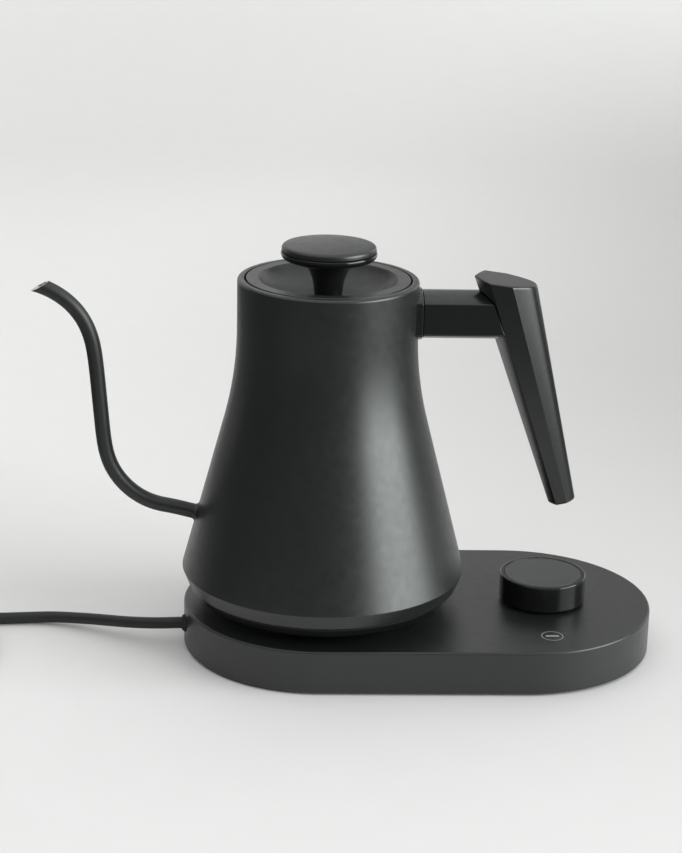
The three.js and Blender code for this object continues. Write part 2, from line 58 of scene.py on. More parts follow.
# ---------- sizes shared by several pieces, mm ----------
BASE_R = 66.4
BASE_XL, BASE_XR = -1.7, 96.1
BASE_TOP = 22.2
BASE_UNDER = 1.2
CREASE_R, CREASE_Z = 68.9, 40.7
LIP_R, LIP_Z = 66.0, 33.4
CONE_R, CONE_Z = 49.12, 115.1
NECK_R, NECK_MID, NECK_Z = 43.1, 137.7, 160.3
RIM_Z = 185.0
SHEET = 1.24
MOUTH_R = 39.8
DIAL_X, DIAL_R, DIAL_TOP = 109.2, 21.2, 36.5
KEY_X, KEY_Y, KEY_R = 108.7, -45.9, 5.6
LEAD_R = 2.85
EXIT_Y, EXIT_Z = -9.1, 12.2
SPOUT_R, SPOUT_BORE = 3.65, 2.75
ARM_Z, ARM_W, ARM_H, ARM_BULGE, ARM_X0 = 168.3, 12.2, 7.6, 3.7, 44.5


def at(points):
    """Millimetres from the kettle's axis to metres in the row frame."""
    return np.asarray(points, float) * MM + np.array([AXIS_X, 0.0, 0.0])


# ---------- meshes from grids ----------
CREASE_ANGLE = 32.0  # degrees; edges that turn further stay sharp
WELD = 1e-7  # metres; points closer than this are one point


def signed_volume(verts, faces):
    """Sum over the fan triangles of every face of a . (b x c) / 6."""
    total = 0.0
    for count in (3, 4):
        part = np.array([f for f in faces if len(f) == count], int)
        if len(part) == 0:
            continue
        for k in range(1, count - 1):
            a, b, c = verts[part[:, 0]], verts[part[:, k]], verts[part[:, k + 1]]
            total += float(np.einsum("ij,ij->i", a, np.cross(b, c)).sum())
    return total


def skin(name, grid, along=False, crease=CREASE_ANGLE):
    """Mesh of a grid of points [i, j]: quads between neighbours, closed over j, and over i
    too if along is set. Equal points are welded, so a row drawn to one point is a pole.
    The side that gives a positive volume is turned outwards."""
    rows, cols = grid.shape[:2]
    i = np.arange(rows if along else rows - 1)[:, None]
    j = np.arange(cols)[None, :]
    i2, j2 = (i + 1) % rows, (j + 1) % cols
    quads = np.stack([
        np.broadcast_to(a * cols + b, (i.shape[0], j.shape[1])).ravel()
        for a, b in ((i, j), (i, j2), (i2, j2), (i2, j))
    ], axis=1)
    points = at(grid.reshape(-1, 3))
    _, first, back = np.unique(
        np.round(points / WELD).astype(np.int64), axis=0, return_index=True,
        return_inverse=True)
    quads = back.reshape(-1)[quads]
    verts = points[first]
    same = quads == np.roll(quads, -1, axis=1)
    full = quads[~same.any(axis=1)]
    three = quads[same.sum(axis=1) == 1]
    keep = ~same[same.sum(axis=1) == 1]
    three = three[keep].reshape(-1, 3)
    faces = [list(q) for q in full.tolist()] + [list(t) for t in three.tolist()]
    if signed_volume(verts - verts.mean(axis=0), faces) < 0:
        faces = [f[::-1] for f in faces]
    mesh = bpy.data.meshes.new(name)
    mesh.from_pydata(verts.tolist(), [], faces)
    return piece(name, mesh, crease)


def soften(mesh, crease=CREASE_ANGLE):
    """Smooth faces, except the level ones, and sharp edges past the crease angle."""
    mesh.set_sharp_from_angle(angle=float(np.radians(crease)))
    normal = np.zeros(3 * len(mesh.polygons))
    mesh.polygons.foreach_get("normal", normal)
    mesh.polygons.foreach_set("use_smooth", np.abs(normal[2::3]) < 0.99999)


def piece(name, mesh, crease=CREASE_ANGLE):
    """Object at the origin with its shading set."""
    mesh.validate()
    soften(mesh, crease)
    obj = bpy.data.objects.new(name, mesh)
    bpy.context.scene.collection.objects.link(obj)
    return obj


def drilled(obj, *tools):
    """The piece less its tools, which are removed afterwards."""
    for tool in tools:
        cutter = obj.modifiers.new("drill", "BOOLEAN")
        cutter.operation, cutter.solver, cutter.object = "DIFFERENCE", "EXACT", tool
    bpy.context.view_layer.update()
    seen = obj.evaluated_get(bpy.context.evaluated_depsgraph_get())
    mesh = bpy.data.meshes.new_from_object(seen)
    obj.modifiers.clear()
    obj.data = mesh
    soften(mesh)
    for tool in tools:
        bpy.data.objects.remove(tool)
    return obj


# ---------- profiles ----------
def rounded(corners, steps=5, edge=0.35):
    """Profile through [a, b, radius] corners. Each corner with a radius becomes an arc
    that touches both its sides, with one more point on each side a little before it, so
    that the shading of a flat stays flat. The profile is closed."""
    c = np.array(corners, float)
    p, r = c[:, :2], c[:, 2]
    before, after = np.roll(p, 1, axis=0) - p, np.roll(p, -1, axis=0) - p
    long_b, long_a = np.linalg.norm(before, axis=1), np.linalg.norm(after, axis=1)
    u, v = before / long_b[:, None], after / long_a[:, None]
    half = np.arccos(np.clip((u * v).sum(axis=1), -1, 1)) / 2
    half = np.clip(half, 0.02, np.pi / 2 - 1e-4)
    reach = np.minimum(r / np.tan(half), 0.49 * np.minimum(long_b, long_a))
    r = reach * np.tan(half)
    middle = p + (u + v) / np.maximum(np.linalg.norm(u + v, axis=1), 1e-9)[:, None] * (
        r / np.sin(half))[:, None]
    a, b = p + u * reach[:, None] - middle, p + v * reach[:, None] - middle
    turn = np.pi - 2 * half
    t = np.linspace(0, 1, steps + 1)[None, :, None]
    w = np.maximum(np.sin(turn), 1e-9)[:, None, None]
    arcs = (np.sin((1 - t) * turn[:, None, None]) * a[:, None]
            + np.sin(t * turn[:, None, None]) * b[:, None]) / w + middle[:, None]
    lead = np.minimum(reach + edge, 0.495 * long_b), np.minimum(reach + edge, 0.495 * long_a)
    ahead = (p + u * lead[0][:, None])[:, None]
    behind = (p + v * lead[1][:, None])[:, None]
    out = np.concatenate([ahead, arcs, behind], axis=1)
    plain = (r < 1e-6)[:, None, None]
    out = np.where(plain, p[:, None], out).reshape(-1, 2)
    return out[np.linalg.norm(out - np.roll(out, 1, axis=0), axis=1) > 1e-6]


def bezier(*points, steps=24):
    """Bezier curve of any degree: the sum of its points weighed by the Bernstein terms."""
    p = np.array(points, float)
    n = len(p) - 1
    t = np.linspace(0, 1, steps + 1)[:, None]
    k = np.arange(n + 1)[None, :]
    choose = np.array([np.prod(np.arange(n, n - m, -1)) / max(np.prod(np.arange(1, m + 1)), 1)
                       for m in range(n + 1)])
    return (choose * t ** k * (1 - t) ** (n - k)) @ p


def spline(points, count):
    """Curve with steady curvature through the points: a natural cubic on chord length.
    Returns count points, equally spaced along it."""
    p = np.array(points, float)
    s = np.concatenate([[0], np.cumsum(np.linalg.norm(np.diff(p, axis=0), axis=1))])
    h = np.diff(s)
    n = len(p)
    system, right = np.eye(n), np.zeros((n, p.shape[1]))
    k = np.arange(1, n - 1)
    system[k, k - 1], system[k, k], system[k, k + 1] = h[:-1], 2 * (h[:-1] + h[1:]), h[1:]
    slope = np.diff(p, axis=0) / h[:, None]
    right[1:-1] = 6 * np.diff(slope, axis=0)
    m = np.linalg.solve(system, right)

    def value(q):
        i = np.clip(np.searchsorted(s, q, side="right") - 1, 0, n - 2)
        a, b = ((s[i + 1] - q) / h[i])[:, None], ((q - s[i]) / h[i])[:, None]
        hh = (h[i] ** 2 / 6)[:, None]
        return a * p[i] + b * p[i + 1] + ((a ** 3 - a) * m[i] + (b ** 3 - b) * m[i + 1]) * hh

    fine = value(np.linspace(0, s[-1], 40 * n))
    run = np.concatenate([[0], np.cumsum(np.linalg.norm(np.diff(fine, axis=0), axis=1))])
    even = np.linspace(0, run[-1], count)
    return np.stack([np.interp(even, run, fine[:, c]) for c in range(fine.shape[1])], axis=1)


# ---------- surfaces ----------
def lathe(name, profile, x=0.0, y=0.0, segments=128, closed=True, crease=CREASE_ANGLE):
    """Profile (radius, height) turned about an upright axis through x, y."""
    p = np.asarray(profile, float)
    a = np.linspace(0, 2 * np.pi, segments, endpoint=False)
    grid = np.stack([
        x + p[:, None, 0] * np.cos(a), y + p[:, None, 0] * np.sin(a),
        np.repeat(p[:, None, 1], segments, axis=1)], axis=2)
    return skin(name, grid, along=closed, crease=crease)


def around_base(profile, end_steps=64, side_steps=12):
    """Profile (inset, height) carried round the base's long rounded outline: a point is
    the centre of its end plus the outward normal times the end radius less the inset."""
    half = np.linspace(-np.pi / 2, np.pi / 2, end_steps + 1)
    side = np.linspace(0, 1, side_steps + 1)[1:-1]
    cx = np.concatenate([
        np.full(len(half), BASE_XR), BASE_XR + (BASE_XL - BASE_XR) * side,
        np.full(len(half), BASE_XL), BASE_XL + (BASE_XR - BASE_XL) * side])
    a = np.concatenate([half, np.full(len(side), np.pi / 2), half + np.pi,
                        np.full(len(side), 3 * np.pi / 2)])
    p = np.asarray(profile, float)
    r = np.maximum(BASE_R - p[:, None, 0], 1e-9)
    return np.stack([cx + r * np.cos(a), r * np.sin(a),
                     np.repeat(p[:, None, 1], len(a), axis=1)], axis=2)


def sweep(name, path, radius, sides=32):
    """Circle of the given radius carried along a path that never stands upright: its side
    axis is level and square to the path, its other axis is square to both. Both ends are
    closed to a point."""
    p = np.asarray(path, float)
    tangent = np.gradient(p, axis=0)
    tangent /= np.linalg.norm(tangent, axis=1)[:, None]
    up = np.array([0.0, 0.0, 1.0])
    side = np.cross(tangent, up)
    side /= np.linalg.norm(side, axis=1)[:, None]
    rise = np.cross(side, tangent)
    a = np.linspace(0, 2 * np.pi, sides, endpoint=False)
    ring = p[:, None] + radius * (np.cos(a)[None, :, None] * side[:, None]
                                  + np.sin(a)[None, :, None] * rise[:, None])
    start = np.repeat(p[:1, None], sides, axis=1)
    end = np.repeat(p[-1:, None], sides, axis=1)
    return skin(name, np.concatenate([start, ring, end]))


# ---------- camera ----------
camera = bpy.data.objects.new("camera", bpy.data.cameras.new("camera"))
bpy.context.scene.collection.objects.link(camera)
bpy.context.scene.camera = camera
camera.data.sensor_fit = "VERTICAL"
camera.data.sensor_height = 36.0
camera.data.lens = 90.6
right, up, back = ((0.99907, -0.03714, 0.02208), (-0.00942, 0.31145, 0.95022),
                   (-0.04217, -0.94954, 0.31081))
turn = Matrix((right, up, back)).transposed().to_4x4()
camera.matrix_world = Matrix.Translation(Vector((-0.04752, -0.9837, 0.4333))) @ turn
camera.data.clip_start, camera.data.clip_end = 0.05, 50.0


# ---------- materials ----------
MOTTLE_SCALE, ROUGH_SCALE = 38.0, 240.0  # noise scales per metre


def material(name, colour, rough, bump=None, mottle=0.0, rough_vary=0.0, metal=0.0,
             level=0.5, ior=1.45, brushed=None, mark=None):
    """Shader with its colour mottled by a slow noise, its roughness by a finer one, and
    grain from a bump of one or two noises, all on object coordinates.
    bump: (distance in metres, [(noise scale, weight), ...]). brushed stretches the finer
    noises, and mark is a function that draws over the colour."""
    made = bpy.data.materials.new(name)
    made.use_nodes = True
    tree = made.node_tree
    shader = tree.nodes["Principled BSDF"]
    link = tree.links.new
    shader.inputs["Metallic"].default_value = metal
    shader.inputs["Specular IOR Level"].default_value = level
    shader.inputs["IOR"].default_value = ior
    where = tree.nodes.new("ShaderNodeTexCoord").outputs["Object"]

    def noise(size, detail=3.0, stretch=None):
        node = tree.nodes.new("ShaderNodeTexNoise")
        node.inputs["Scale"].default_value = size
        node.inputs["Detail"].default_value = detail
        source = where
        if stretch:
            mapping = tree.nodes.new("ShaderNodeMapping")
            mapping.inputs["Scale"].default_value = stretch
            link(where, mapping.inputs["Vector"])
            source = mapping.outputs["Vector"]
        link(source, node.inputs["Vector"])
        return node.outputs["Fac"]

    def span(value, low, high, start=0.3, stop=0.7):
        node = tree.nodes.new("ShaderNodeMapRange")
        node.inputs["From Min"].default_value = start
        node.inputs["From Max"].default_value = stop
        node.inputs["To Min"].default_value = low
        node.inputs["To Max"].default_value = high
        link(value, node.inputs["Value"])
        return node.outputs["Result"]

    rgb = np.array(colour, float)
    mix = tree.nodes.new("ShaderNodeMix")
    mix.data_type = "RGBA"
    mix.inputs["A"].default_value = (*(rgb * (1 - mottle)), 1.0)
    mix.inputs["B"].default_value = (*(rgb * (1 + mottle)), 1.0)
    link(span(noise(MOTTLE_SCALE, 4.0), 0.0, 1.0), mix.inputs["Factor"])
    colour_out = mix.outputs["Result"]
    if mark:
        colour_out = mark(tree, where, colour_out)
    link(colour_out, shader.inputs["Base Color"])
    link(span(noise(ROUGH_SCALE, 3.0, brushed), rough - rough_vary, rough + rough_vary),
         shader.inputs["Roughness"])
    if bump:
        distance, layers = bump
        height = None
        for size, weight in layers:
            part = span(noise(size, 2.0, brushed), 0.0, weight, 0.0, 1.0)
            if height is None:
                height = part
                continue
            add = tree.nodes.new("ShaderNodeMath")
            add.operation = "ADD"
            link(height, add.inputs[0])
            link(part, add.inputs[1])
            height = add.outputs[0]
        node = tree.nodes.new("ShaderNodeBump")
        node.inputs["Strength"].default_value = 1.0
        node.inputs["Distance"].default_value = distance
        link(height, node.inputs["Height"])
        link(node.outputs["Normal"], shader.inputs["Normal"])
    return made


def key_print(tree, where, under):
    """Light print on the touch key: a thin ring and a short bar, drawn by the distance
    from the key's centre and by a box round it."""
    link = tree.links.new

    def math(kind, a, b):
        node = tree.nodes.new("ShaderNodeMath")
        node.operation = kind
        for k, value in enumerate((a, b)):
            if isinstance(value, (int, float)):
                node.inputs[k].default_value = value
            else:
                link(value, node.inputs[k])
        return node.outputs[0]

    split = tree.nodes.new("ShaderNodeSeparateXYZ")
    link(where, split.inputs["Vector"])
    centre = at([KEY_X, KEY_Y, 0.0])
    dx = math("SUBTRACT", split.outputs["X"], float(centre[0]))
    dy = math("SUBTRACT", split.outputs["Y"], float(centre[1]))
    radius = math("SQRT", math("ADD", math("MULTIPLY", dx, dx), math("MULTIPLY", dy, dy)), 0.0)
    off_ring = math("ABSOLUTE", math("SUBTRACT", radius, KEY_RING_R * MM), 0.0)
    ring = math("LESS_THAN", off_ring, KEY_RING_W / 2 * MM)
    bar_x = math("LESS_THAN", math("ABSOLUTE", dx, 0.0), KEY_BAR[0] / 2 * MM)
    bar_y = math("LESS_THAN", math("ABSOLUTE", dy, 0.0), KEY_BAR[1] / 2 * MM)
    ink = math("MAXIMUM", ring, math("MULTIPLY", bar_x, bar_y))
    mix = tree.nodes.new("ShaderNodeMix")
    mix.data_type = "RGBA"
    link(ink, mix.inputs["Factor"])
    link(under, mix.inputs["A"])
    mix.inputs["B"].default_value = (0.33, 0.34, 0.33, 1.0)
    return mix.outputs["Result"]


KEY_RING_R, KEY_RING_W = 5.1, 0.36
KEY_BAR = (6.2, 1.5)

COAT = (0.0090, 0.0100, 0.0100)
GRAIN = (0.00003, [(2600.0, 0.7), (900.0, 0.3)])
coat = material("powder_coat", COAT, 0.37, GRAIN, mottle=0.06, rough_vary=0.03, ior=1.6)
coat_base = material("base_paint", COAT, 0.36, GRAIN, mottle=0.05, rough_vary=0.03, ior=1.6)
coat_key = material("touch_key_paint", COAT, 0.36, GRAIN, mottle=0.04, ior=1.6, mark=key_print)
handle_paint = material("handle_paint", (0.0055, 0.0063, 0.0062), 0.27,
                        (0.000002, [(300.0, 1.0)]), mottle=0.03,
                        rough_vary=0.004, ior=1.55)
# painted shade: the spout's coat is the body's coat in a darker colour, and rougher
coat_spout = material("spout_coat", (0.0062, 0.0072, 0.007), 0.48, GRAIN, mottle=0.06,
                      rough_vary=0.03, ior=1.6)
moulding = material("matt_moulding", (0.011, 0.012, 0.012), 0.48,
                    (0.00003, [(1800.0, 1.0)]), mottle=0.05, rough_vary=0.04)
dull = material("under_moulding", (0.0045, 0.005, 0.005), 0.55, (0.00003, [(1800.0, 1.0)]),
                mottle=0.05, rough_vary=0.04, level=0.25)
gloss = material("polished_black", (0.008, 0.008, 0.008), 0.14, (0.000002, [(300.0, 1.0)]),
                 mottle=0.05, rough_vary=0.003)
smoke = material("smoked_window", (0.052, 0.054, 0.054), 0.2, (0.0000005, [(200.0, 1.0)]),
                 mottle=0.012, rough_vary=0.001)
steel = material("bare_steel", (0.55, 0.55, 0.54), 0.27, (0.000006, [(900.0, 1.0)]),
                 mottle=0.04, rough_vary=0.05, metal=1.0, brushed=(1.0, 1.0, 9.0))
rubber = material("soft_rubber", (0.016, 0.016, 0.016), 0.8, (0.00004, [(1500.0, 1.0)]),
                  mottle=0.08, rough_vary=0.05)
copper = material("contact_metal", (0.62, 0.42, 0.2), 0.3, (0.000005, [(700.0, 1.0)]),
                  mottle=0.06, rough_vary=0.06, metal=1.0)
board = material("circuit_board", (0.02, 0.11, 0.055), 0.5, (0.00003, [(500.0, 1.0)]),
                 mottle=0.12, rough_vary=0.05)
silicone = material("grey_silicone", (0.26, 0.27, 0.265), 0.6, (0.00002, [(1200.0, 1.0)]),
                    mottle=0.04, rough_vary=0.04)
pvc = material("lead_sheath", (0.014, 0.015, 0.015), 0.5, (0.00003, [(1400.0, 1.0)]),
               mottle=0.06, rough_vary=0.05)
FINISH = {"coat": coat, "plastic": moulding, "gloss": gloss, "screen": smoke, "steel": steel,
          "rubber": rubber, "copper": copper, "board": board, "silicone": silicone, "pvc": pvc}


def dress(obj, finish, slot, body, *nodes):
    """Gives a piece its finish and its body, and hides the nodes it stands for. The slot is not
    used.
    """
    obj.data.materials.clear()
    obj.data.materials.append(finish)
    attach(obj, body)
    if nodes:
        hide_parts(*nodes)
    return obj


slot_of = {s["node"]: s["material_slot"] for s in frame["record"]["subparts"]}
for node, obj in frame["nodes"].items():
    obj.data.materials.clear()
    obj.data.materials.append(FINISH[slot_of[node]])

# ---------- mains lead ----------
LEAD_ROUTE = [
    (-69.3, -9.1, 12.2), (-79.3, -8.6, 11.7), (-89.0, -5.6, 10.5), (-98.5, -1.2, 9.1),
    (-106.5, 3.4, 7.8), (-114.3, 7.9, 6.5), (-124.0, 12.8, 5.0), (-134.1, 16.2, 3.9),
    (-145.7, 17.4, 3.1), (-160.7, 16.4, 2.95), (-177.4, 16.0, 2.95),
]
TAIL_ROUTE = [(-235.2, -46.4, 9.0), (-235.2, -50.0, 9.6), (-235.2, -53.4, 9.9)]
COIL_X, COIL_Y = -200.0, -19.2
COIL_OUT, COIL_IN = 35.2, 29.3
LAYER_LOW, LAYER_HIGH = 2.95, 8.65
COIL_TURNS = 3.25
PLUG_X, PLUG_Y, PLUG_Z = -235.2, -53.7, 9.9


def ease(t, start, stop):
    """0 before start, 1 after stop, and 3q^2 - 2q^3 in between."""
    q = np.clip((t - start) / (stop - start), 0, 1)
    return q * q * (3 - 2 * q)


def coil_points(turns):
    """Windings about an upright axis: radius and height are steps between an outer and
    inner ring and a low and high layer, eased over a quarter turn."""
    t = np.asarray(turns, float)
    a = np.pi / 2 + 2 * np.pi * t
    inward = ease(t, 0.68, 0.93) - ease(t, 2.2, 2.45)
    r = COIL_OUT + (COIL_IN - COIL_OUT) * inward
    z = LAYER_LOW + (LAYER_HIGH - LAYER_LOW) * ease(t, 1.35, 1.62)
    return np.stack([COIL_X + r * np.cos(a), COIL_Y + r * np.sin(a), z], axis=1)


coil_route = coil_points(np.linspace(0.0, COIL_TURNS, int(24 * COIL_TURNS) + 1))
lead_route = np.concatenate([
    [(-50.0, -9.1, 12.2), (-60.0, -9.1, 12.2)], LEAD_ROUTE, [(-188.7, 15.95, 2.95)],
    coil_route, [(-235.2, -33.0, 8.7)], TAIL_ROUTE, [(-235.2, -62.0, 9.9)]])
lead_line = spline(lead_route, 900)
lead = sweep("power_lead", lead_line, LEAD_R, sides=24)
dress(lead, pvc, "pvc", "power_base", "power_cord", "cord_coil", "cord_tail")

# tapered relief in the housing wall
relief = lathe("cord_relief", rounded([
    (0.0, -22.0, 0), (4.3, -22.0, 0.4), (4.8, -6.0, 0.5), (5.0, -1.6, 0.9),
    (3.5, 0.5, 0.4), (2.9, 0.5, 0.1), (0.0, 0.3, 0)]), segments=64)
relief.data.transform(
    Matrix.Translation(Vector(at([-68.4, EXIT_Y, EXIT_Z]))) @ Matrix.Rotation(
        -np.pi / 2, 4, "Y") @ Matrix.Translation(Vector((-AXIS_X, 0, 0))))
relief.data.update()
dress(relief, rubber, "rubber", "power_base", "cord_gland")

# plug body: squared-off rings that grow from the lead's own size
plug_stations = spline([
    (0.0, 3.7, 3.7, 2.0), (2.0, 4.0, 4.0, 2.0), (14.0, 4.7, 4.7, 2.0), (20.0, 5.4, 5.4, 2.2),
    (26.0, 10.2, 8.0, 3.0), (34.0, 13.0, 9.6, 3.6), (48.0, 13.0, 9.6, 3.8)], 60)
rim = np.array([(48.9, 12.9, 9.5, 3.8), (49.6, 12.5, 9.1, 3.8), (50.0, 11.8, 8.5, 3.8),
                (50.0, 6.0, 4.0, 3.0), (50.0, 1e-6, 1e-6, 2.0)])
tip = np.array([(0.0, 1e-6, 1e-6, 2.0), (-0.4, 2.9, 2.9, 2.0), (-0.3, 3.4, 3.4, 2.0)])
stations = np.concatenate([tip, plug_stations, rim])[:, :, None]
angle = np.linspace(0, 2 * np.pi, 64, endpoint=False)[None, :]
power = 2.0 / stations[:, 3]
plug = skin("plug_moulding", np.stack([
    PLUG_X + stations[:, 1] * np.sign(np.cos(angle)) * np.abs(np.cos(angle)) ** power,
    np.broadcast_to(PLUG_Y - stations[:, 0], (len(stations), 64)),
    PLUG_Z + stations[:, 2] * np.sign(np.sin(angle)) * np.abs(np.sin(angle)) ** power,
], axis=2), crease=50.0)
dress(plug, pvc, "pvc", "power_base", "plug_body")

# ---------- power base ----------
base = skin("base_shell", np.concatenate([
    around_base([(0.4, BASE_UNDER)]),
    around_base(rounded([(0.4, BASE_UNDER, 0), (0.0, BASE_UNDER + 0.4, 0.3),
                         (0.0, BASE_TOP, 1.1), (12.0, BASE_TOP, 0)], steps=8)[1:-1]),
    around_base([(14.0, BASE_TOP), (40.0, BASE_TOP), (BASE_R, BASE_TOP)]),
    around_base([(BASE_R, BASE_TOP - 2.4), (40.0, BASE_TOP - 2.4), (3.4, BASE_TOP - 2.4),
                 (2.4, BASE_TOP - 3.4), (2.4, BASE_UNDER), (2.0, BASE_UNDER)]),
]), along=True)


def bit(name, r, low, top, x, y, flare=0.5):
    """Round cutter with a small flare where it leaves the surface at height top."""
    q = np.linspace(0, np.pi / 2, 6)
    flared = np.stack([r + flare * (1 - np.cos(q)), top - flare * (1 - np.sin(q))], axis=1)
    profile = np.concatenate([[(0, low), (r, low)], flared, [(r + flare, top + 3), (0, top + 3)]])
    return lathe(name, profile, x, y, 96, closed=False)


drilled(base, bit("cut_a", 22.6, 10, BASE_TOP, 0, 0, 0.8),
        bit("cut_b", 9.2, 10, BASE_TOP, DIAL_X, 0),
        bit("cut_c", KEY_R + 0.08, BASE_TOP - 0.9, BASE_TOP, KEY_X, KEY_Y, 0.06))
dress(base, coat_base, "coat", "power_base", "base_housing")
key = lathe("touch_key_face", rounded([
    (0, BASE_TOP - 0.6, 0), (KEY_R, BASE_TOP - 0.6, 0), (KEY_R, BASE_TOP - 0.02, 0.06),
    (0, BASE_TOP - 0.02, 0)]), KEY_X, KEY_Y, 96)
dress(key, coat_key, "coat", "power_base", "touch_key")



def through(points):
    """Corners without a radius, so that a profile goes through the points as they are."""
    return np.column_stack([points, np.zeros(len(points))])


# ---------- turned pieces ----------
flank = bezier((CONE_R, CONE_Z), (NECK_R, NECK_MID), (NECK_R, NECK_Z), steps=40)
flank_out = through(flank)
flank_in = flank_out[::-1] - [SHEET, 0, 0]
shell_outline = np.concatenate([
    [(LIP_R, LIP_Z, 0.6), (CREASE_R, CREASE_Z, 0.7)], flank_out,
    [(NECK_R, RIM_Z, 1.5), (MOUTH_R, RIM_Z, 0.4), (MOUTH_R, 178.4, 0.3), (37.0, 178.4, 0.4),
     (37.0, 177.2, 0.4), (NECK_R - SHEET, 173.4, 0.5)], flank_in,
    [(CREASE_R - 1.3, CREASE_Z + 0.1, 0.4), (LIP_R - 1.3, LIP_Z + 0.3, 0.2)]])


def stretches(profile, longest=6.0):
    """Profile with its long straight stretches cut into equal steps."""
    p = np.asarray(profile, float)
    q = np.roll(p, -1, axis=0)
    n = np.maximum(np.ceil(np.linalg.norm(q - p, axis=1) / longest), 1).astype(int)
    which = np.repeat(np.arange(len(p)), n)
    step = (np.arange(len(which)) - np.repeat(np.cumsum(n) - n, n)) / n[which]
    return p[which] + (q[which] - p[which]) * step[:, None]


def upright_turned(name, body, slot, finish, outline, nodes, x=0.0, y=0.0, segments=96):
    """Turned piece of a closed outline of rounded corners, dressed."""
    return dress(lathe(name, stretches(rounded(outline)), x, y, segments), finish, slot,
                 body, *nodes)


shell = lathe("kettle_body", stretches(rounded(shell_outline, steps=7)), segments=192)


def bowl(depth):
    """Steep-sided bowl of the lid; depth moves it down and outwards."""
    return through(bezier((15, 175.8 - depth), (28 + 0.5 * depth, 176.4 - depth),
                          (33 + 0.7 * depth, 184.8 - depth), steps=24))


# name, body, slot, finish, outline, nodes it stands for, centre x, y
TURNED = [
    ("lid_dish", "lid", "coat", coat, np.concatenate([
        [(2.3, 175.8, 0.2)], bowl(0.0), [(33.3, 185.1, 0.25), (39.0, 185.1, 0.45),
        (39.0, 181.6, 0.3), (38.0, 181.6, 0.3), (38.0, 184.1, 0.3), (34.4, 184.1, 0.2)],
        bowl(1.0)[::-1], [(2.3, 174.8, 0.2)]]), ["lid_plate"], 0, 0),
    ("lid_inner", "lid", "plastic", moulding, np.concatenate([
        [(2.3, 174.4, 0.1)], bowl(1.4)[:-4], [(34.9, 183.3, 0.4), (36, 183.3, 0.2),
        (36, 177.6, 0.3), (34.9, 177.6, 0.3), (34.9, 181.0, 0.4)], bowl(2.7)[-8::-1],
        [(2.3, 173.1, 0.2)]]), ["lid_liner"], 0, 0),
    ("lid_ring_seal", "lid", "silicone", silicone, [
        (36.3, 178.9, 0.2), (39.5, 178.9, 0.7), (39.5, 180.7, 0.7), (36.3, 180.7, 0.2)],
     ["lid_seal"], 0, 0),
    ("dial_rim", "dial", "gloss", gloss, [
        (9.0, 25, 0.2), (19.4, 25, 0.3), (19.4, 23.4, 0.3), (DIAL_R, 23.4, 0.5),
        (DIAL_R, DIAL_TOP, 0.9), (19.2, DIAL_TOP, 0.35), (19.2, 27.2, 0.3), (9.0, 27.2, 0.2)],
     ["dial_ring"], DIAL_X, 0),
    ("dial_window", "dial_core", "screen", smoke, [
        (0, 35.1, 0), (18.9, 35.1, 0.1), (18.9, 36.4, 0.25), (0, 36.4, 0)],
     ["display_lens"], DIAL_X, 0),
    ("dial_hub", "dial_core", "plastic", moulding, [
        (0, 17.6, 0), (8.6, 17.6, 0.4), (8.6, 28, 0.3), (18.8, 28, 0.4), (18.8, 30, 0.3),
        (0, 30, 0)], ["dial_stem"], DIAL_X, 0),
    ("connector_tower", "power_base", "plastic", moulding, [
        (0, 27.5, 0), (4.2, 27.5, 0.2), (4.2, 39.5, 0.5), (8.3, 39.5, 0.5), (8.3, 29.5, 0.2),
        (10.9, 29.5, 0.2), (10.9, 39.5, 0.5), (15, 39.5, 0.8), (15, 26.9, 0.6),
        (22.2, 26.9, 1.0), (22.2, 19.5, 0.2), (25.5, 19.5, 0.2), (25.5, 16.5, 0.2),
        (0, 16.5, 0)], ["power_connector"], 0, 0),
    ("connector_socket", "socket", "plastic", moulding, [
        (0, 40.4, 0), (15.6, 40.4, 0.5), (15.6, 27.3, 0.8), (22.2, 27.3, 0.6),
        (22.2, 29.4, 0.1), (26, 29.4, 0.2), (26, 31.4, 0.2), (22.2, 31.4, 0.1),
        (22.2, 43, 0.5), (0, 43, 0)], ["kettle_socket"], 0, 0),
    ("knob_top", "lid", "coat", coat, np.concatenate([
        [(0, 198.1, 0), (22.4, 198.1, 0.3)],
        through(bezier((22.4, 199.0), (22.4, 200.3), (22.0, 201.0), (20.4, 201.25), steps=12)),
        through(bezier((20.4, 201.25), (12, 202.3), (0, 202.3), steps=14))[1:]]),
     ["knob_cap"], 0, 0),
    ("knob_stem", "lid", "gloss", gloss, np.concatenate([
        [(0, 188, 0), (2, 188, 0.1), (2, 176.1, 0.1)],
        through(bezier((6.7, 176.1), (7.0, 187.9), (12.6, 193.0), steps=24)),
        through(bezier((13.0, 193.1), (18.4, 193.3), (22.9, 194.1), (22.8, 197.2), steps=24)),
        [(22.5, 197.8, 0.2), (0, 197.8, 0)]]), ["knob_base"], 0, 0),
]
for name, body, slot, finish, outline, nodes, x, y in TURNED:
    upright_turned(name, body, slot, finish, outline, nodes, x, y)

FEET = [(-22.3, -53.8), (-22.3, 53.8), (116.7, -53.8), (116.7, 53.8)]
for n, (x, y) in enumerate(FEET):
    upright_turned(f"rubber_foot_{n + 1}", "power_base", "rubber", rubber, [
        (0, 0, 0), (5, 0, 0.5), (5, 1.9, 0.3), (2.1, 1.9, 0.1), (2.1, 3.9, 0.4), (0, 3.9, 0)],
        [f"base_foot_{n + 1}"], x, y, 48)

